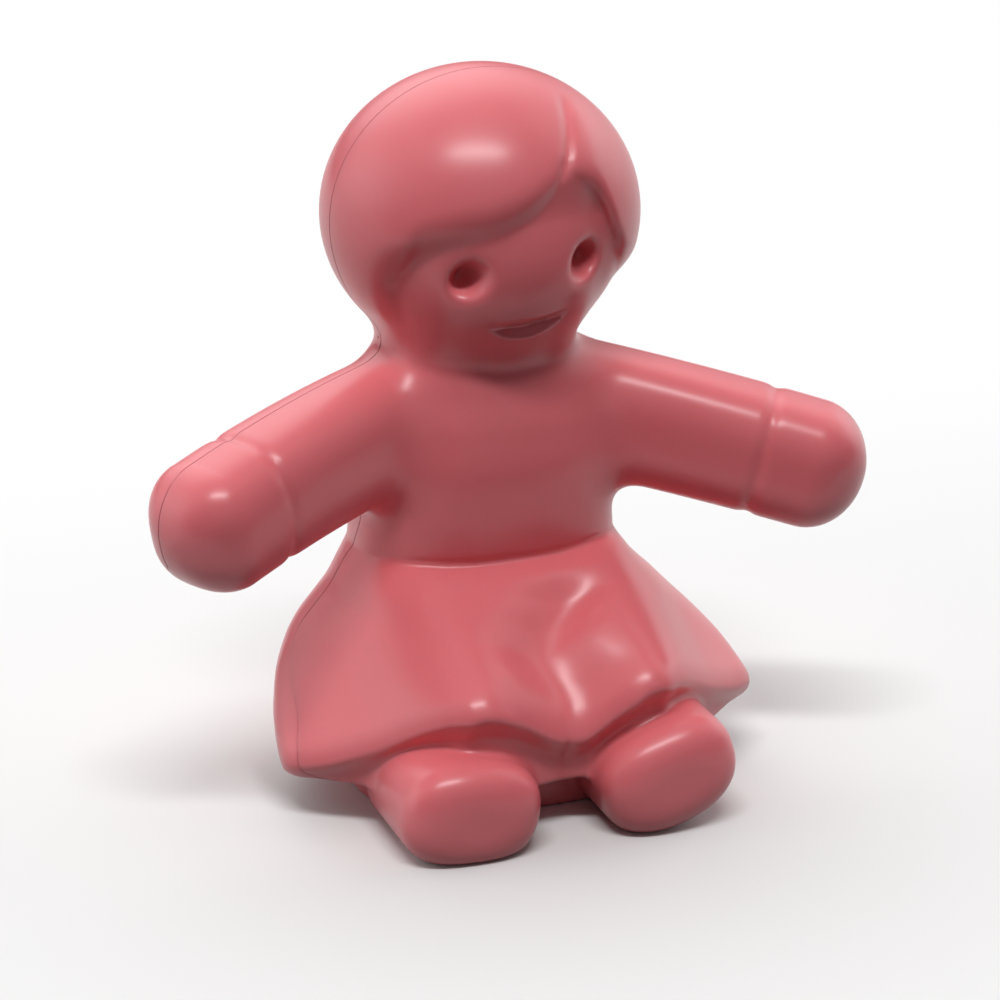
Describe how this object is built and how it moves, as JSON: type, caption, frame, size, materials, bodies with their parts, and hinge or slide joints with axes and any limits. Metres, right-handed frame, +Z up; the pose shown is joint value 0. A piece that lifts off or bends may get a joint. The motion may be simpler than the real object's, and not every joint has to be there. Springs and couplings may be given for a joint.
{
  "type": "seated doll figure",
  "caption": "Small seated doll figure in a flared dress, arms held out, moulded in a single plastic colour as bonded front and back halves; sits flat on a table.",
  "frame": {"origin": "on the underside of the seat, below the neck, at the level of the table", "axes": "+X to the figure's own left, +Y to its back, +Z up"},
  "size_m": [0.022, 0.0128, 0.0213],
  "materials": {
    "pink_plastic_front": "satin-gloss moulded plastic, salmon pink",
    "pink_plastic_back": "satin-gloss moulded plastic, salmon pink"
  },
  "bodies": {
    "root": {"front_shell": "pink_plastic_front", "back_shell": "pink_plastic_back"}
  },
  "joints": []
}
